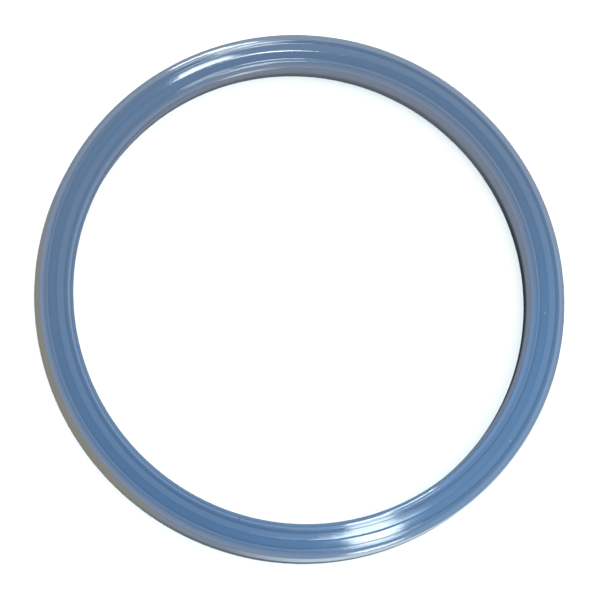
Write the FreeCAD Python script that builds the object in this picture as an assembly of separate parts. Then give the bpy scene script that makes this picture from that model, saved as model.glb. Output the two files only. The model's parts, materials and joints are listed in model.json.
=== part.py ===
import FreeCAD, Part

import math
import os

# Ring gasket of an intake port: one moulded ring of rubber.
# Millimetres. +Z is the ring's axis, and the ring rests on z = 0 on the crest of its middle rib.

# Driving dimensions
OUTER_DIAMETER = 88.0
SECTION_WIDTH = 6.0         # from the bore wall to the outer wall
SECTION_HEIGHT = 8.0        # from the upper middle crest to the lower one
MIDDLE_RIB_WIDTH = 2.6      # from the bottom of one valley to the other
MIDDLE_RIB_SLOPE = 15.0     # degrees from level, of the middle rib's flanks
MIDDLE_CREST_WIDTH = 0.2    # flat land on the middle crest, on which the ring rests
SIDE_RIB_SLOPE = 22.0       # degrees from level, of a side rib's flank beside the valley
SIDE_CREST_RADIUS = 0.4     # rounding from a side crest down to the bevel
SHOULDER_WIDTH = 1.28       # from a side crest out to the wall
SHOULDER_SLOPE = 44.0       # degrees from level, of the bevel beside a side rib
WALL_ROUNDING = 0.8         # rounding between the bevel and the wall

# Sizes that follow
HALF_WIDTH = SECTION_WIDTH / 2
HALF_HEIGHT = SECTION_HEIGHT / 2
CENTRE_RADIUS = OUTER_DIAMETER / 2 - HALF_WIDTH
CREST_EDGE = (MIDDLE_CREST_WIDTH / 2, HALF_HEIGHT)
RIB_TURN = math.radians(MIDDLE_RIB_SLOPE)
SHOULDER_TURN = math.radians(SHOULDER_SLOPE)


def section_point(across, up):
    """A point of the section, from its centre: outwards from the axis, and up."""
    return FreeCAD.Vector(CENTRE_RADIUS + across, 0, HALF_HEIGHT + up)


def line_edge(start, end):
    """A straight edge between two (across, up) points of the section."""
    return Part.makeLine(section_point(*start), section_point(*end))


def on_arc(centre, radius, angle):
    """The (across, up) point of an arc at an angle from straight up."""
    return (centre[0] + radius * math.sin(angle), centre[1] + radius * math.cos(angle))


def arc_edge(centre, radius, start_angle, end_angle):
    """A circular edge about an (across, up) centre, between two angles from straight up."""
    angles = (start_angle, (start_angle + end_angle) / 2, end_angle)
    return Part.Arc(*[section_point(*on_arc(centre, radius, angle)) for angle in angles]).toShape()


def slope_down(start, across, slope):
    """The (across, up) point where a slope from this start has come down, at this distance across."""
    return (across, start[1] - (across - start[0]) * math.tan(slope))


def quarter_outline():
    """The upper outer quarter, from the middle crest's land to the wall, and the wall's top level."""
    # Middle rib's flank, down to the valley
    valley = slope_down(CREST_EDGE, MIDDLE_RIB_WIDTH / 2, RIB_TURN)

    # Side rib: up a short flank, then round over the crest to the bevel's slope
    side_crest = slope_down(valley, HALF_WIDTH - SHOULDER_WIDTH, -math.radians(SIDE_RIB_SLOPE))
    side_centre = (side_crest[0], side_crest[1] - SIDE_CREST_RADIUS)
    bevel_start = on_arc(side_centre, SIDE_CREST_RADIUS, SHOULDER_TURN)
    edges = [line_edge(CREST_EDGE, valley), line_edge(valley, side_crest)]
    edges.append(arc_edge(side_centre, SIDE_CREST_RADIUS, 0, SHOULDER_TURN))

    # Bevel, and rounding to the wall
    rounding_across = HALF_WIDTH - WALL_ROUNDING
    bevel_end_across = rounding_across + WALL_ROUNDING * math.sin(SHOULDER_TURN)
    bevel_end = slope_down(bevel_start, bevel_end_across, SHOULDER_TURN)
    wall_top = bevel_end[1] - WALL_ROUNDING * math.cos(SHOULDER_TURN)
    edges.append(line_edge(bevel_start, bevel_end))
    edges.append(arc_edge((rounding_across, wall_top), WALL_ROUNDING, SHOULDER_TURN, math.pi / 2))
    return edges, wall_top


def mirrored(edges, normal):
    """Copies of edges, mirrored in the plane through the section's centre with this normal."""
    return [edge.mirror(section_point(0, 0), normal) for edge in edges]


def seal_ring():
    """The ribbed section, the same on both faces and both sides, turned round the axis."""
    sideways = FreeCAD.Vector(1, 0, 0)
    upwards = FreeCAD.Vector(0, 0, 1)
    quarter, wall_top = quarter_outline()
    land = line_edge((-MIDDLE_CREST_WIDTH / 2, HALF_HEIGHT), CREST_EDGE)
    upper = [land] + quarter + mirrored(quarter, sideways)
    wall = line_edge((HALF_WIDTH, wall_top), (HALF_WIDTH, -wall_top))
    outline = upper + mirrored(upper, upwards) + [wall] + mirrored([wall], sideways)
    wire = Part.Wire(Part.__sortEdges__(outline))
    print("straight wall", round(2 * wall_top, 3), "mm long")
    return Part.Face(wire).revolve(FreeCAD.Vector(0, 0, 0), upwards, 360)


os.makedirs("parts", exist_ok=True)
ring = seal_ring()
ring.exportStep("parts/seal_ring.step")
print("seal_ring", ring.ShapeType, ring.isValid(), "volume", round(ring.Volume, 2), "mm3")
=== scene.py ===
import json
import logging
import math
from dataclasses import dataclass, field
from enum import Enum
from typing import Union

import bpy
from mathutils import Matrix, Vector


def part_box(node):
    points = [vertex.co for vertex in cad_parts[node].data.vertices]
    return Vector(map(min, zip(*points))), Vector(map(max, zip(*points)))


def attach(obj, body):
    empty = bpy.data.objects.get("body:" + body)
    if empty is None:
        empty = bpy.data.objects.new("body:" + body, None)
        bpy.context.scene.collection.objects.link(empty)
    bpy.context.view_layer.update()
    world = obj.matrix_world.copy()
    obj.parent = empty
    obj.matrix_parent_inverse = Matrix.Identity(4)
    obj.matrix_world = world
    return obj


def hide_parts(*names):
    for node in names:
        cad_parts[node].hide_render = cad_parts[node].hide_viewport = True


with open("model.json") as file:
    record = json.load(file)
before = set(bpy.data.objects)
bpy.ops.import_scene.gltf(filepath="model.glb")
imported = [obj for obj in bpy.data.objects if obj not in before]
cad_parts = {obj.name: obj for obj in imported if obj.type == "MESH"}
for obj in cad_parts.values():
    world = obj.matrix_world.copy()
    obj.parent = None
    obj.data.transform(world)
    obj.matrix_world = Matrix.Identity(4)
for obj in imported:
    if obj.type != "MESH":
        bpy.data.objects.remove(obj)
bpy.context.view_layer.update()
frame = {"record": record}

# A moulded rubber ring gasket, lying on a white sheet in soft studio light.
# Lengths are in metres, and MM turns millimetres into metres. The ring's finish works in millimetres.
# Directions are an azimuth from +X towards +Y and an angle from straight up, both in degrees.
MM = 0.001
NODE = "seal_ring"
PIECE = "seal_ring_rubber"
BODY = "root"
ORIGIN = (0.0, 0.0, 0.0)
UP = (0.0, 0.0, 1.0)
PICTURE_UP = (0.0, 1.0, 0.0)
LEVEL = 90.0
FLIP_SIDEWAYS = (-1.0, 1.0, 1.0)
FLIP_OVER = (1.0, 1.0, -1.0)

Point = tuple[float, float]
Fade = tuple[float, float]
Colour = tuple[float, ...]
Socket = bpy.types.NodeSocket
Value = Union[Socket, float, Colour, Vector]

log = logging.getLogger("ring_gasket")


class Faces(Enum):
    """Which way a slope of the ring faces: away from its axis or towards it."""

    OUTWARDS = 1
    INWARDS = -1


def mount_radius(name: str) -> float:
    """Radius in metres of the record's round mount with this name."""
    mounts = {mount["name"]: mount for mount in frame["record"]["mounts"]}
    return mounts[name]["dims"]["r_mm"] * MM


def direction(azimuth: float, from_zenith: float) -> Vector:
    """Unit vector towards a place in the sky.

    Args:
        azimuth: degrees from +X towards +Y.
        from_zenith: degrees down from straight up.

    Returns:
        The unit vector.
    """
    around = math.radians(azimuth)
    down = math.radians(from_zenith)
    level = math.sin(down)
    return Vector((level * math.cos(around), level * math.sin(around), math.cos(down)))


@dataclass(frozen=True)
class Corner:
    """A corner of the section's outline: its place, the reach of its rounding, and its arc's segments."""

    across: float
    up: float
    reach: float
    segments: int


@dataclass
class RibbedSection:
    """Upper outer quarter of the section, from the middle rib's crest out to the wall.

    It has half a middle rib, a valley, a side rib, a bevel and the wall. Places are (across, up) from the
    section's centre, in metres, and slopes are in radians from level.
    """

    half_width: float
    half_height: float
    middle_rib_width: float = 2.6 * MM
    middle_rib_slope: float = math.radians(15.0)
    middle_crest_width: float = 0.2 * MM
    middle_crest_radius: float = 0.7 * MM
    flank_crown: float = math.radians(4.0)
    flank_radius: float = 7.0 * MM
    valley_radius: float = 0.3 * MM
    side_rib_slope: float = math.radians(22.0)
    side_crest_edge_radius: float = 0.12 * MM
    side_crest_radius: float = 0.34 * MM
    shoulder_width: float = 1.28 * MM
    shoulder_slope: float = math.radians(44.0)
    shoulder_tangent_radius: float = 0.4 * MM
    shoulder_crown: float = math.radians(7.0)
    shoulder_radius: float = 3.0 * MM
    wall_rounding: float = 0.8 * MM
    arc_step: float = math.radians(4.0)
    least_segments: int = 3

    def corner(self, across: float, up: float, radius: float, turn: float) -> Corner:
        """The corner at this place, where an arc of this radius rounds a turn in radians."""
        segments = max(self.least_segments, round(turn / self.arc_step))
        return Corner(across, up, radius * math.tan(turn / 2.0), segments)

    def crown(self, start: Point, end: Point, turn: float, radius: float) -> tuple[Corner, float, float]:
        """Crowns a straight slope with a corner at its middle.

        Args:
            start: the slope's upper end.
            end: its lower end.
            turn: how much gentler the upper half gets, in radians.
            radius: the radius that rounds the corner.

        Returns:
            The corner, and the slopes over and under it.
        """
        across = (start[0] + end[0]) / 2.0
        upper = math.atan2(start[1] - end[1], end[0] - start[0]) - turn
        up = start[1] - (across - start[0]) * math.tan(upper)
        lower = math.atan2(up - end[1], end[0] - across)
        return self.corner(across, up, radius, lower - upper), upper, lower

    def corners(self) -> list[Corner]:
        """The quarter's corners, from the middle crest out to the wall.

        Returns:
            Crest, flank, valley, side crest, bevel start, bevel and wall corners.
        """
        crest_across = self.middle_crest_width / 2.0
        valley = self.middle_rib_width / 2.0
        valley_level = self.half_height - (valley - crest_across) * math.tan(self.middle_rib_slope)
        side_crest = self.half_width - self.shoulder_width
        side_level = valley_level + (side_crest - valley) * math.tan(self.side_rib_slope)
        bevel_start = side_crest + self.shoulder_tangent_radius * math.tan(self.shoulder_slope / 2.0)
        wall_level = side_level - (self.half_width - bevel_start) * math.tan(self.shoulder_slope)
        flank, flank_upper, flank_lower = self.crown(
            (crest_across, self.half_height), (valley, valley_level), self.flank_crown, self.flank_radius
        )
        bevel, bevel_upper, bevel_lower = self.crown(
            (bevel_start, side_level),
            (self.half_width, wall_level),
            self.shoulder_crown,
            self.shoulder_radius,
        )
        return [
            self.corner(crest_across, self.half_height, self.middle_crest_radius, flank_upper),
            flank,
            self.corner(valley, valley_level, self.valley_radius, flank_lower + self.side_rib_slope),
            self.corner(side_crest, side_level, self.side_crest_edge_radius, self.side_rib_slope),
            self.corner(bevel_start, side_level, self.side_crest_radius, bevel_upper),
            bevel,
            self.corner(self.half_width, wall_level, self.wall_rounding, math.pi / 2.0 - bevel_lower),
        ]


@dataclass
class SealRing:
    """The gasket itself: a quarter of its section, mirrored twice and turned once round the axis."""

    bore_radius: float
    wall_radius: float
    height: float
    steps: int = 384
    wall_cuts: int = 2
    merge: float = 0.002 * MM
    round_profile: float = 0.5
    section: RibbedSection = field(init=False)

    def __post_init__(self) -> None:
        """Fits the section between the two walls."""
        self.section = RibbedSection((self.wall_radius - self.bore_radius) / 2.0, self.height / 2.0)

    @property
    def centre(self) -> Vector:
        """The section's centre, where the drawing starts."""
        return Vector(((self.wall_radius + self.bore_radius) / 2.0, 0.0, self.height / 2.0))

    def place(self, across: float, up: float) -> Vector:
        """A place of the section in the ring's own frame."""
        return self.centre + Vector((across, 0.0, up))

    def select(self, ring: bpy.types.Object, places: list[Vector]) -> None:
        """Selects the vertices that lie at these places, and nothing else, in vertex mode.

        Args:
            ring: the object in edit mode.
            places: where the vertices are.
        """
        bpy.ops.mesh.select_all(action="DESELECT")
        bpy.ops.object.mode_set(mode="OBJECT")
        for vertex in ring.data.vertices:
            vertex.select = any((vertex.co - place).length < self.merge for place in places)
        bpy.ops.object.mode_set(mode="EDIT")

    def blank(self) -> bpy.types.Object:
        """The quarter's blank: a flat strip from the section's centre to its crest and wall.

        Returns:
            The object, in edit mode, with the two outer edges of the strip and no face.
        """
        half_width = self.section.half_width
        half_height = self.section.half_height
        middle = self.place(half_width / 2.0, half_height / 2.0)
        bpy.ops.object.select_all(action="DESELECT")
        bpy.ops.mesh.primitive_plane_add(size=half_width, location=middle, rotation=(math.pi / 2.0, 0.0, 0.0))
        ring = bpy.context.active_object
        bpy.ops.object.transform_apply(location=True, rotation=True, scale=True)
        bpy.ops.object.mode_set(mode="EDIT")
        bpy.ops.mesh.select_mode(type="VERT")
        bpy.ops.mesh.select_all(action="SELECT")
        bpy.ops.transform.resize(value=(1.0, 1.0, half_height / half_width), center_override=middle)
        self.select(ring, [self.place(0.0, 0.0)])
        bpy.ops.mesh.delete(type="VERT")
        return ring

    def draw_corners(self, ring: bpy.types.Object) -> None:
        """Cuts the strip's top edge once for each corner but the last, and moves each corner to its place.

        Args:
            ring: the blank, in edit mode.
        """
        corners = self.section.corners()
        half_width = self.section.half_width
        half_height = self.section.half_height
        self.select(ring, [self.place(0.0, half_height), self.place(half_width, half_height)])
        cuts = len(corners) - 1
        bpy.ops.mesh.subdivide(number_cuts=cuts)
        for number, corner in enumerate(corners, start=1):
            start = self.place(half_width * number / (cuts + 1), half_height)
            self.select(ring, [start])
            bpy.ops.transform.translate(value=self.place(corner.across, corner.up) - start)

    def round_corners(self, ring: bpy.types.Object) -> None:
        """Rounds each corner into an arc, then cuts the wall's straight stretch.

        Args:
            ring: the quarter's outline, in edit mode.
        """
        corners = self.section.corners()
        for corner in corners:
            self.select(ring, [self.place(corner.across, corner.up)])
            bpy.ops.mesh.bevel(
                offset_type="OFFSET",
                offset=corner.reach,
                segments=corner.segments,
                profile=self.round_profile,
                affect="VERTICES",
                clamp_overlap=False,
            )
        bpy.ops.mesh.select_all(action="SELECT")
        bpy.ops.mesh.remove_doubles(threshold=self.merge)
        wall = corners[-1]
        wall_top = self.place(wall.across, wall.up - wall.reach)
        self.select(ring, [wall_top, self.place(self.section.half_width, 0.0)])
        bpy.ops.mesh.subdivide(number_cuts=self.wall_cuts)

    def mirror_quarter(self) -> None:
        """Copies the quarter to the inner side, and the upper half to the lower face."""
        for flip in (FLIP_SIDEWAYS, FLIP_OVER):
            bpy.ops.mesh.select_all(action="SELECT")
            bpy.ops.mesh.duplicate()
            bpy.ops.transform.resize(value=flip, center_override=self.centre)
        bpy.ops.mesh.select_all(action="SELECT")
        bpy.ops.mesh.remove_doubles(threshold=self.merge)

    def turn(self) -> None:
        """Turns the outline once round the axis, closes the seam and points the faces outwards."""
        bpy.ops.mesh.spin(steps=self.steps, angle=2.0 * math.pi, center=ORIGIN, axis=UP)
        bpy.ops.mesh.select_all(action="SELECT")
        bpy.ops.mesh.remove_doubles(threshold=self.merge)
        bpy.ops.mesh.normals_make_consistent(inside=False)
        bpy.ops.object.mode_set(mode="OBJECT")

    def build(self) -> bpy.types.Object:
        """Models the ring.

        Returns:
            The ring's object, at the origin.
        """
        ring = self.blank()
        ring.name = PIECE
        self.draw_corners(ring)
        self.round_corners(ring)
        self.mirror_quarter()
        self.turn()
        bpy.ops.object.shade_smooth()
        return ring


@dataclass
class Nodes:
    """A node tree, with short calls for the nodes that the finishes and the room are made of."""

    tree: bpy.types.NodeTree
    mix_share: int = 0
    mix_first: int = 6
    mix_second: int = 7
    mix_colour: int = 2

    def __post_init__(self) -> None:
        """Empties the tree."""
        self.tree.nodes.clear()

    def add(self, kind: str, settings: dict[str, str] | None = None, **inputs: Value) -> bpy.types.Node:
        """Adds one node.

        Args:
            kind: the node's type.
            settings: attributes of the node.
            **inputs: values or sockets for its inputs, by name with underscores for spaces.

        Returns:
            The node.
        """
        node = self.tree.nodes.new(kind)
        for name, value in (settings or {}).items():
            setattr(node, name, value)
        for name, value in inputs.items():
            self.feed(node.inputs[name.replace("_", " ")], value)
        return node

    def feed(self, socket: Socket, value: Value) -> None:
        """Links a socket to an output, or sets its value.

        Args:
            socket: the input.
            value: an output, a number, a colour or a vector.
        """
        if isinstance(value, Socket):
            self.tree.links.new(value, socket)
        else:
            socket.default_value = value

    def math(self, operation: str, *values: Value) -> Socket:
        """A Math node.

        Args:
            operation: its operation.
            *values: numbers or sockets, in order.

        Returns:
            Its output.
        """
        node = self.add("ShaderNodeMath", {"operation": operation})
        for socket, value in zip(node.inputs, values):
            self.feed(socket, value)
        return node.outputs[0]

    def product(self, *values: Value) -> Socket:
        """Multiplies values.

        Args:
            *values: two or more numbers or sockets.

        Returns:
            Their product.
        """
        whole = values[0]
        for value in values[1:]:
            whole = self.math("MULTIPLY", whole, value)
        return whole

    def total(self, base: float, parts: list[tuple[Socket, float]]) -> Socket:
        """Adds weighted values to a number.

        Args:
            base: the number.
            parts: the values, each with its weight.

        Returns:
            The sum.
        """
        whole = base
        for value, weight in parts:
            whole = self.math("ADD", whole, self.product(value, weight))
        return whole

    def distance(self, value: Socket, centre: float) -> Socket:
        """How far a value is from a number, up or down."""
        return self.math("ABSOLUTE", self.math("SUBTRACT", value, centre))

    def dot(self, first: Value, second: Value) -> Socket:
        """Dot product of two vectors.

        Args:
            first: a vector or socket.
            second: a vector or socket.

        Returns:
            The product.
        """
        node = self.add("ShaderNodeVectorMath", {"operation": "DOT_PRODUCT"})
        for socket, value in zip(node.inputs, (first, second)):
            self.feed(socket, value)
        return node.outputs["Value"]

    def vector(self, x: Value, y: Value, z: Value) -> Socket:
        """A vector of three numbers or sockets."""
        return self.add("ShaderNodeCombineXYZ", X=x, Y=y, Z=z).outputs[0]

    def span(
        self, value: Socket, low: float, high: float, to_low: float = 0.0, to_high: float = 1.0
    ) -> Socket:
        """Maps a range of a value smoothly onto another.

        Args:
            value: the value.
            low: where the range starts.
            high: where it ends.
            to_low: what its start becomes.
            to_high: what its end becomes.

        Returns:
            The mapped value.
        """
        node = self.add("ShaderNodeMapRange", {"interpolation_type": "SMOOTHSTEP"}, Value=value)
        for name, number in (("From Min", low), ("From Max", high), ("To Min", to_low), ("To Max", to_high)):
            node.inputs[name].default_value = number
        return node.outputs["Result"]

    def blend(self, share: Value, first: Value, second: Value) -> Socket:
        """Mixes two colours.

        Args:
            share: how much of the second colour.
            first: a colour or socket.
            second: a colour or socket.

        Returns:
            The mixed colour.
        """
        node = self.add("ShaderNodeMix", {"data_type": "RGBA"})
        self.feed(node.inputs[self.mix_share], share)
        self.feed(node.inputs[self.mix_first], first)
        self.feed(node.inputs[self.mix_second], second)
        return node.outputs[self.mix_colour]


def new_material(name: str) -> tuple[bpy.types.Material, Nodes]:
    """Makes a material with no nodes yet.

    Args:
        name: its name.

    Returns:
        The material and its nodes.
    """
    material = bpy.data.materials.new(name)
    material.use_nodes = True
    return material, Nodes(material.node_tree)


@dataclass(frozen=True)
class Grain:
    """Noise of one size: lumps for each unit of its coordinates, and octaves."""

    scale: float
    detail: float

    def value(self, nodes: Nodes, place: Socket) -> Socket:
        """The noise, from 0 to 1, at each place."""
        node = nodes.add("ShaderNodeTexNoise", Vector=place, Scale=self.scale, Detail=self.detail)
        return node.outputs["Fac"]


@dataclass(frozen=True)
class Side:
    """One side of the ring, fading across it.

    The side lies at an azimuth in degrees. The fade starts at low and is full at high, both in millimetres
    from the axis towards that azimuth.
    """

    azimuth: float
    low: float
    high: float

    def mask(self, nodes: Nodes, place: Socket) -> Socket:
        """White on this side, at places in millimetres."""
        return nodes.span(nodes.dot(place, direction(self.azimuth, LEVEL)), self.low, self.high)


@dataclass(frozen=True)
class Mark:
    """A small nick or speck, in millimetres and degrees.

    Its middle is at x, y and level, and its length is turned from +X by the angle that it lies at. It
    reaches by its depth over and under its level. It is full up to a share of its half size, and fades out
    from there to its edge.
    """

    x: float
    y: float
    length: float
    width: float
    lies: float
    level: float = 7.2
    depth: float = 2.0
    full: float = 0.5

    def mask(self, nodes: Nodes, place: Socket) -> Socket:
        """White on the mark.

        Args:
            nodes: the material's nodes.
            place: object coordinates in millimetres.

        Returns:
            The mask.
        """
        node = nodes.add("ShaderNodeMapping", {"vector_type": "TEXTURE"}, Vector=place)
        node.inputs["Location"].default_value = (self.x, self.y, self.level)
        node.inputs["Rotation"].default_value = (0.0, 0.0, math.radians(self.lies))
        node.inputs["Scale"].default_value = (self.length / 2.0, self.width / 2.0, self.depth)
        length = nodes.add("ShaderNodeVectorMath", {"operation": "LENGTH"}, Vector=node.outputs[0])
        return nodes.span(length.outputs["Value"], 1.0, self.full)


@dataclass
class RingPlaces:
    """Where each point of the ring lies, in millimetres, as sockets that the finish is laid by."""

    nodes: Nodes
    ring: SealRing
    bore: float = field(init=False)
    rim: float = field(init=False)
    height: float = field(init=False)
    point: Socket = field(init=False)
    x: Socket = field(init=False)
    y: Socket = field(init=False)
    z: Socket = field(init=False)
    radius: Socket = field(init=False)
    offset: Socket = field(init=False)

    def __post_init__(self) -> None:
        """Works out the point, its distance from the axis, and its offset from the middle crest."""
        nodes = self.nodes
        self.bore = self.ring.bore_radius / MM
        self.rim = self.ring.wall_radius / MM
        self.height = self.ring.height / MM
        metres = nodes.add("ShaderNodeTexCoord").outputs["Object"]
        scale = nodes.add("ShaderNodeVectorMath", {"operation": "SCALE"}, Vector=metres, Scale=1.0 / MM)
        self.point = scale.outputs[0]
        self.x, self.y, self.z = nodes.add("ShaderNodeSeparateXYZ", Vector=self.point).outputs
        squares = nodes.math("ADD", nodes.product(self.x, self.x), nodes.product(self.y, self.y))
        self.radius = nodes.math("SQRT", squares)
        self.offset = nodes.distance(self.radius, (self.bore + self.rim) / 2.0)

    def by_bore(self, fade: Fade) -> Socket:
        """White by the inner wall, where the fade is in millimetres from it."""
        return self.nodes.span(self.radius, self.bore + fade[0], self.bore + fade[1])

    def by_rim(self, fade: Fade) -> Socket:
        """White by the outer wall, where the fade is in millimetres from it."""
        return self.nodes.span(self.radius, self.rim - fade[0], self.rim - fade[1])

    def by_level(self, fade: Fade) -> Socket:
        """White at some levels, where the fade is in shares of the ring's height."""
        return self.nodes.span(self.z, self.height * fade[0], self.height * fade[1])

    def on_side(self, side: Side) -> Socket:
        """White on one side of the ring."""
        return side.mask(self.nodes, self.point)

    def on_marks(self, marks: tuple[Mark, ...]) -> Socket:
        """White on any of the marks.

        Args:
            marks: the marks.

        Returns:
            The mask.
        """
        whole = marks[0].mask(self.nodes, self.point)
        for mark in marks[1:]:
            whole = self.nodes.math("MAXIMUM", whole, mark.mask(self.nodes, self.point))
        return whole


@dataclass(frozen=True)
class RubberMasks:
    """The areas that more than one part of the finish is laid by."""

    inner: Socket
    outer: Socket
    walls: Socket
    nicks: Socket
    specks: Socket


@dataclass(frozen=True)
class SiliconeFinish:
    """Glossy slate-blue silicone rubber, as it comes out of a turned steel mould, with light and shade
    painted into its colour.

    A fade is where a layer starts and where it is full. Heights of the relief are in millimetres.
    """

    slate: Colour = (0.0285, 0.0600, 0.1150, 1.0)
    # painted shade: the deeper, darker blue of the ring's lower side, away from the light
    mottled_deep_shade: Colour = (0.0165, 0.0570, 0.1300, 1.0)
    # painted light: the brighter blue of the lower-right side, round the lamps' highlight
    bright_halo: Colour = (0.0265, 0.0765, 0.1600, 1.0)
    # painted reflection: a grey sheen on the shoulders by both walls
    shoulder_sheen: Colour = (0.046, 0.065, 0.103, 1.0)
    # painted reflection: the grey of the white sheet mirrored in both walls
    wall: Colour = (0.094, 0.104, 0.132, 1.0)
    # painted shadow: the dark foot of both walls, where they meet the sheet
    foot_shadow: Colour = (0.052, 0.061, 0.074, 1.0)
    # painted reflection: the sheet mirrored browner in the outer wall on the lower-left side
    brown_reflection: Colour = (0.108, 0.102, 0.087, 1.0)
    shade: Colour = (0.014, 0.020, 0.028, 1.0)
    # painted reflection: a pale upper outer wall on the lower-right side, beside the highlight
    pale_reflection: Colour = (0.230, 0.265, 0.305, 1.0)
    # painted shade: dark valleys beside the middle rib, on the lower side by the highlight
    valley: Colour = (0.010, 0.036, 0.090, 1.0)
    dust: Colour = (0.32, 0.36, 0.42, 1.0)
    pit: Colour = (0.02, 0.04, 0.09, 1.0)

    # side where the painted shade of the deeper blue lies
    deep_shade_side: Side = Side(275.0, -25.0, 38.0)
    # side where the painted light of the brighter blue lies
    bright_halo_side: Side = Side(318.0, 10.0, 42.0)
    # side where the valleys' painted shade lies
    valley_shade_side: Side = Side(290.0, -5.0, 30.0)
    # side where the painted sheen by the inner wall lies
    inner_sheen_side: Side = Side(75.0, -5.0, 30.0)
    # side where the painted sheen is thinner
    thin_sheen_side: Side = Side(310.0, 20.0, 44.0)
    # side where the outer wall's painted pale reflection lies
    pale_reflection_side: Side = Side(300.0, 29.0, 41.0)
    shade_side: Side = Side(0.0, 28.0, 38.0)
    # side where the outer wall's painted brown reflection lies
    brown_reflection_side: Side = Side(200.0, 30.0, 41.0)

    wall_fade: Fade = (0.3, 0.05)
    # painted sheen: where it starts and where it is full, in millimetres from the walls
    shoulder_sheen_fade: Fade = (1.7, 0.3)
    # painted shadow at the walls' foot: the levels where it starts and where it is full
    foot_shadow_fade: Fade = (0.62, 0.36)
    pale_reflection_fade: Fade = (0.36, 0.6)
    valley_offset: float = 1.3
    valley_fade: Fade = (0.28, 0.02)
    valley_shade_share: float = 0.5
    shoulder_sheen_share: float = 0.8
    shoulder_sheen_thinned: float = 0.5
    mottle_grain: Grain = Grain(0.5, 4.0)
    mottle_fade: Fade = (0.3, 0.7)
    mottle_share: float = 0.15
    nicks: tuple[Mark, ...] = (Mark(-10.7, -37.7, 1.2, 0.3, 85.0),)
    nick_share: float = 0.8
    specks: tuple[Mark, ...] = (Mark(40.4, -2.2, 0.5, 0.35, 20.0), Mark(34.4, -23.7, 0.45, 0.3, -30.0))
    speck_share: float = 0.15

    roughness: float = 0.085
    smear_grain: Grain = Grain(0.35, 4.0)
    smear_fade: Fade = (0.35, 0.75)
    smear_fall: float = 0.009
    smear_rise: float = 0.03
    bevel_fade: Fade = (2.3, 2.7)
    bevel_rise: float = 0.08
    speck_rise: float = 0.3
    ior: float = 1.43
    gloss: float = 0.5
    matt_fade: Fade = (2.66, 2.86)

    line_grain: Grain = Grain(1.0, 3.0)
    turned_across: float = 5.0
    turned_along: float = 0.05
    turned_height: float = 0.008
    drawn_around: float = 90.0
    drawn_up: float = 0.3
    drawn_height: float = 0.03
    peel_grain: Grain = Grain(1.6, 3.0)
    peel_height: float = 0.004
    wave_grain: Grain = Grain(0.16, 2.0)
    wave_height: float = 0.02
    parting_fade: Fade = (0.12, 0.04)
    parting_height: float = 0.03
    nick_depth: float = 0.15
    speck_height: float = 0.012

    def masks(self, nodes: Nodes, places: RingPlaces) -> RubberMasks:
        """Makes the areas that more than one part of the finish is laid by.

        Args:
            nodes: the material's nodes.
            places: where each point lies.

        Returns:
            The masks.
        """
        inner = places.by_bore(self.wall_fade)
        outer = places.by_rim(self.wall_fade)
        walls = nodes.math("MAXIMUM", inner, outer)
        return RubberMasks(inner, outer, walls, places.on_marks(self.nicks), places.on_marks(self.specks))

    def colour(self, nodes: Nodes, places: RingPlaces, masks: RubberMasks) -> Socket:
        """Lays the colours over each other: the rubber's own colour, then painted shade, sheen, reflections
        and shadow, then the specks of dust.

        Args:
            nodes: the material's nodes.
            places: where each point lies.
            masks: the areas.

        Returns:
            The colour.
        """
        mottle = self.mottle_grain.value(nodes, places.point)
        mottle = nodes.span(mottle, *self.mottle_fade, -self.mottle_share, self.mottle_share)
        # share of the painted shade on the lower side, with the random mottle added
        mottled_deep_shade = nodes.math("ADD", places.on_side(self.deep_shade_side), mottle)
        valleys = nodes.span(nodes.distance(places.offset, self.valley_offset), *self.valley_fade)
        # painted sheen on both shoulders, thinner on the lower right
        inner_sheen = nodes.product(places.by_bore(self.shoulder_sheen_fade), places.on_side(self.inner_sheen_side))
        shoulder_sheen = nodes.math("MAXIMUM", places.by_rim(self.shoulder_sheen_fade), inner_sheen)
        thinned = nodes.product(places.on_side(self.thin_sheen_side), self.shoulder_sheen_thinned)
        shoulder_sheen_share = nodes.math("SUBTRACT", self.shoulder_sheen_share, thinned)
        # painted shadow at the foot of the walls
        foot_shadow = nodes.product(masks.walls, places.by_level(self.foot_shadow_fade))
        # painted reflection on the upper outer wall, on the lower right
        pale_reflection = nodes.product(masks.outer, places.on_side(self.pale_reflection_side), places.by_level(self.pale_reflection_fade))
        layers = (
            # painted light round the highlight on the lower right
            (places.on_side(self.bright_halo_side), self.bright_halo),
            # painted shade in the valleys
            (nodes.product(valleys, places.on_side(self.valley_shade_side), self.valley_shade_share), self.valley),
            (nodes.product(shoulder_sheen, shoulder_sheen_share), self.shoulder_sheen),
            # painted reflection of the sheet on the walls
            (masks.walls, self.wall),
            (foot_shadow, self.foot_shadow),
            (pale_reflection, self.pale_reflection),
            (nodes.product(foot_shadow, masks.inner, places.on_side(self.shade_side)), self.shade),
            # painted reflection on the outer wall's lower-left side
            (nodes.product(masks.outer, places.on_side(self.brown_reflection_side)), self.brown_reflection),
            (nodes.product(masks.nicks, self.nick_share), self.pit),
            (nodes.product(masks.specks, self.speck_share), self.dust),
        )
        colour = nodes.blend(mottled_deep_shade, self.slate, self.mottled_deep_shade)
        for share, layer in layers:
            colour = nodes.blend(share, colour, layer)
        return colour

    def rough(self, nodes: Nodes, places: RingPlaces, masks: RubberMasks) -> Socket:
        """How rough each place is: smeared a little, and rougher on the bevels and on dust.

        Args:
            nodes: the material's nodes.
            places: where each point lies.
            masks: the areas.

        Returns:
            The roughness.
        """
        smear = self.smear_grain.value(nodes, places.point)
        smear = nodes.span(smear, *self.smear_fade, -self.smear_fall, self.smear_rise)
        bevels = nodes.span(places.offset, *self.bevel_fade)
        parts = [(smear, 1.0), (bevels, self.bevel_rise), (masks.specks, self.speck_rise)]
        return nodes.total(self.roughness, parts)

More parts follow.
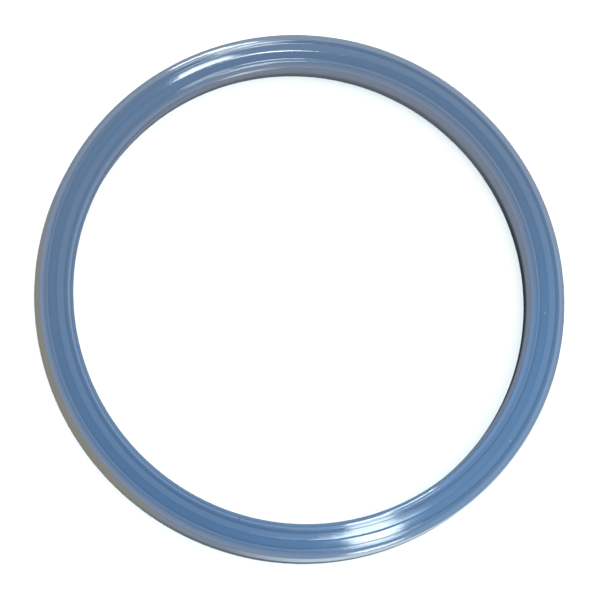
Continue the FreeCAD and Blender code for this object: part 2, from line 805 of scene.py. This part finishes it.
    def relief(self, nodes: Nodes, places: RingPlaces, masks: RubberMasks) -> Socket:
        """The fine relief: turned marks, drawn marks on the walls, parting line, nick and specks.

        Args:
            nodes: the material's nodes.
            places: where each point lies.
            masks: the areas.

        Returns:
            Its height in millimetres.
        """
        across = nodes.product(places.radius, self.turned_across)
        along = [nodes.product(part, self.turned_along) for part in (places.x, places.y)]
        turned = self.line_grain.value(nodes, nodes.vector(across, *along))
        around = [
            nodes.product(nodes.math("DIVIDE", part, places.radius), self.drawn_around)
            for part in (places.x, places.y)
        ]
        drawn = self.line_grain.value(nodes, nodes.vector(*around, nodes.product(places.z, self.drawn_up)))
        parting = nodes.span(nodes.distance(places.z, places.height / 2.0), *self.parting_fade)
        parts = [
            (turned, self.turned_height),
            (self.peel_grain.value(nodes, places.point), self.peel_height),
            (self.wave_grain.value(nodes, places.point), self.wave_height),
            (nodes.product(drawn, masks.walls), self.drawn_height),
            (nodes.product(parting, masks.walls), self.parting_height),
            (masks.nicks, -self.nick_depth),
            (masks.specks, self.speck_height),
        ]
        return nodes.total(0.0, parts)

    def build(self, ring: SealRing) -> bpy.types.Material:
        """Makes the material.

        Args:
            ring: the ring's sizes.

        Returns:
            The material.
        """
        material, nodes = new_material("silicone_rubber_gloss")
        places = RingPlaces(nodes, ring)
        masks = self.masks(nodes, places)
        relief = self.relief(nodes, places, masks)
        bump = nodes.add("ShaderNodeBump", Height=relief, Strength=1.0, Distance=MM)
        shader = nodes.add(
            "ShaderNodeBsdfPrincipled",
            Base_Color=self.colour(nodes, places, masks),
            Roughness=self.rough(nodes, places, masks),
            IOR=self.ior,
            Specular_IOR_Level=nodes.span(places.offset, *self.matt_fade, self.gloss, 0.0),
            Normal=bump.outputs[0],
        )
        nodes.add("ShaderNodeOutputMaterial", Surface=shader.outputs[0])
        return material


@dataclass(frozen=True)
class PaperFinish:
    """Plain white paper, with faint cool clouds."""

    white: Colour = (0.86, 0.88, 0.88, 1.0)
    cool: Colour = (0.80, 0.86, 0.87, 1.0)
    cloud_grain: Grain = Grain(12.0, 2.0)
    cloud_fade: Fade = (0.35, 0.65)
    roughness: float = 0.9

    def build(self) -> bpy.types.Material:
        """Makes the material.

        Returns:
            The material.
        """
        material, nodes = new_material("white_paper")
        cloud = self.cloud_grain.value(nodes, nodes.add("ShaderNodeTexCoord").outputs["Object"])
        colour = nodes.blend(nodes.span(cloud, *self.cloud_fade), self.white, self.cool)
        shader = nodes.add("ShaderNodeBsdfPrincipled", Base_Color=colour, Roughness=self.roughness)
        nodes.add("ShaderNodeOutputMaterial", Surface=shader.outputs[0])
        return material


@dataclass(frozen=True)
class Softbox:
    """A soft rectangular lamp, hung where slopes of the ring mirror it into the camera.

    Its reflection lies on the ring between the azimuths start and end, on slopes from gentle to steep, all
    in degrees. It only makes reflections: the room gives all other light.
    """

    name: str
    faces: Faces
    start: float
    end: float
    gentle: float
    steep: float
    brightness: float
    distance: float = 0.25
    colour: Colour = (0.9, 1.0, 1.0)

    def hung_for(self, eye: Vector, ring: SealRing, azimuth: float, slope: float) -> Vector:
        """Where the lamp has to hang, for a slope of the ring at this azimuth to mirror it.

        Args:
            eye: the camera's place.
            ring: the ring's sizes.
            azimuth: degrees round the ring.
            slope: degrees from level.

        Returns:
            A point of the lamp.
        """
        place = direction(azimuth, LEVEL) * ring.centre.x
        place.z = ring.height
        normal = direction(azimuth, self.faces.value * slope)
        to_eye = (eye - place).normalized()
        return place + (2.0 * normal.dot(to_eye) * normal - to_eye) * self.distance

    def add(self, eye: Vector, ring: SealRing) -> None:
        """Hangs the lamp, facing the ring.

        Args:
            eye: the camera's place.
            ring: the ring's sizes.
        """
        upper = [self.hung_for(eye, ring, azimuth, self.gentle) for azimuth in (self.start, self.end)]
        lower = [self.hung_for(eye, ring, azimuth, self.steep) for azimuth in (self.start, self.end)]
        points = upper + lower
        centre = sum(points, Vector()) / len(points)
        tall = (upper[0] + upper[1] - lower[0] - lower[1]) / 2.0
        across = (upper[1] + lower[1] - upper[0] - lower[0]) / 2.0
        across -= tall * across.dot(tall) / tall.length_squared
        back = across.cross(tall).normalized()
        if back.z < 0.0:
            back.negate()
        data = bpy.data.lights.new(self.name, "AREA")
        data.shape = "RECTANGLE"
        data.size = across.length
        data.size_y = tall.length
        data.color = self.colour
        data.energy = self.brightness * math.pi * across.length * tall.length
        lamp = bpy.data.objects.new(self.name, data)
        lamp.visible_diffuse = False
        side = tall.cross(back).normalized()
        turn = Matrix((side, back.cross(side), back)).transposed()
        lamp.matrix_world = Matrix.Translation(centre) @ turn.to_4x4()
        bpy.context.scene.collection.objects.link(lamp)


@dataclass(frozen=True)
class Glow:
    """A soft bright or dark area of the room: its centre, its core and reach in degrees, and its strength."""

    azimuth: float
    from_zenith: float
    core: float
    reach: float
    strength: float

    def light(self, nodes: Nodes, towards: Socket) -> Socket:
        """The glow's brightness in each direction.

        Args:
            nodes: the room's nodes.
            towards: the direction.

        Returns:
            The brightness.
        """
        edge = math.cos(math.radians(self.reach))
        full = math.cos(math.radians(self.core))
        closeness = nodes.dot(towards, direction(self.azimuth, self.from_zenith))
        return nodes.span(closeness, edge, full, 0.0, self.strength)


@dataclass
class Studio:
    """The white sheet, the room's light and the lamps."""

    sheet_size: float = 3.0
    room: Colour = (0.97, 1.0, 1.0, 1.0)
    room_strength: float = 1.65
    horizon_strength: float = 2.0
    horizon_fade: Fade = (1.0, -0.1)
    glows: tuple[Glow, ...] = (
        Glow(35.0, 50.0, 8.0, 62.0, 0.8),
        Glow(62.0, 12.0, 3.0, 18.0, -0.9),
    )
    lamps: tuple[Softbox, ...] = (
        Softbox("right_box", Faces.OUTWARDS, 280.5, 292.0, 9.5, 20.0, 34.0),
        Softbox("far_box", Faces.INWARDS, 280.5, 292.0, 9.5, 20.0, 34.0),
        Softbox("left_box", Faces.OUTWARDS, 107.0, 121.0, 10.0, 15.5, 32.0, 0.13),
        Softbox("rib_right_box", Faces.OUTWARDS, 281.0, 292.0, 20.5, 24.0, 33.0),
        Softbox("rib_far_box", Faces.INWARDS, 281.0, 292.0, 20.5, 23.5, 33.0, 0.12),
        Softbox("rib_left_box", Faces.OUTWARDS, 108.0, 120.0, 20.5, 23.5, 10.0, 0.15),
        Softbox("low_right_box", Faces.OUTWARDS, 280.0, 292.0, 44.5, 48.3, 26.0),
        Softbox("low_left_box", Faces.OUTWARDS, 107.0, 121.0, 39.0, 41.8, 42.0),
        Softbox("low_far_box", Faces.INWARDS, 280.5, 292.0, 35.5, 41.3, 22.0, 4.0),
    )

    def lay_sheet(self) -> None:
        """Lays the white sheet that the ring lies on."""
        bpy.ops.object.select_all(action="DESELECT")
        bpy.ops.mesh.primitive_plane_add(size=self.sheet_size, location=ORIGIN)
        floor = bpy.context.active_object
        floor.name = "white_sheet"
        floor.data.materials.append(PaperFinish().build())

    def light_room(self) -> None:
        """Lights the room: light that grows from straight up to the horizon, with the glows in it."""
        world = bpy.data.worlds.new("room")
        world.use_nodes = True
        nodes = Nodes(world.node_tree)
        towards = nodes.add("ShaderNodeTexCoord").outputs["Generated"]
        height = nodes.add("ShaderNodeSeparateXYZ", Vector=towards).outputs["Z"]
        horizon = self.room_strength + self.horizon_strength
        strength = nodes.span(height, *self.horizon_fade, self.room_strength, horizon)
        for glow in self.glows:
            strength = nodes.math("ADD", strength, glow.light(nodes, towards))
        light = nodes.add("ShaderNodeBackground", Color=self.room, Strength=strength)
        nodes.add("ShaderNodeOutputWorld", Surface=light.outputs[0])
        bpy.context.scene.world = world

    def build(self, eye: Vector, ring: SealRing) -> None:
        """Sets up the sheet, the room and the lamps.

        Args:
            eye: the camera's place.
            ring: the ring's sizes.
        """
        self.lay_sheet()
        self.light_room()
        for lamp in self.lamps:
            lamp.add(eye, ring)


@dataclass
class ProductCamera:
    """A long lens far above the ring, leaning towards the picture's lower left.

    The frame is 600 pixels wide, at 6.04 pixels a millimetre at the ring. The aim is in millimetres.
    """

    azimuth: float = 230.0
    lean: float = 12.6
    distance: float = 0.9
    frame_width: float = 600.0 / 6.04 * MM
    aim: tuple[float, float, float] = (-0.07, -0.33, 4.0)
    sensor: float = 36.0
    clip_start: float = 0.01

    def add(self) -> bpy.types.Object:
        """Sets up the camera.

        Returns:
            The camera's object.
        """
        data = bpy.data.cameras.new("product_camera")
        data.sensor_width = self.sensor
        data.lens = self.sensor * self.distance / self.frame_width
        data.clip_start = self.clip_start
        camera = bpy.data.objects.new("product_camera", data)
        back = direction(self.azimuth, self.lean)
        upright = Vector(PICTURE_UP)
        upright = (upright - back * upright.dot(back)).normalized()
        right = upright.cross(back)
        turn = Matrix((right, upright, back)).transposed()
        target = Vector(self.aim) * MM
        camera.matrix_world = Matrix.Translation(target + back * self.distance) @ turn.to_4x4()
        bpy.context.scene.collection.objects.link(camera)
        bpy.context.scene.camera = camera
        return camera


def main() -> None:
    """Builds the ring and its studio in order."""
    logging.basicConfig(level=logging.INFO, format="%(name)s: %(message)s")
    low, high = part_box(NODE)
    reach = min(high.x - low.x, high.y - low.y) / 2.0
    wall_radius = min(mount_radius("groove_wall"), reach)
    ring_maker = SealRing(mount_radius("port_bore"), wall_radius, high.z - low.z)
    ring = ring_maker.build()
    ring.data.materials.append(SiliconeFinish().build(ring_maker))
    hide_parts(NODE)
    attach(ring, BODY)
    log.info("%s: %d faces", ring.name, len(ring.data.polygons))

    camera = ProductCamera().add()
    studio = Studio()
    studio.build(camera.matrix_world.translation, ring_maker)
    bpy.context.scene.view_settings.view_transform = "Standard"
    log.info("studio: sheet, room light and %d lamps, seen by %s", len(studio.lamps), camera.name)


if __name__ == "__main__":
    main()
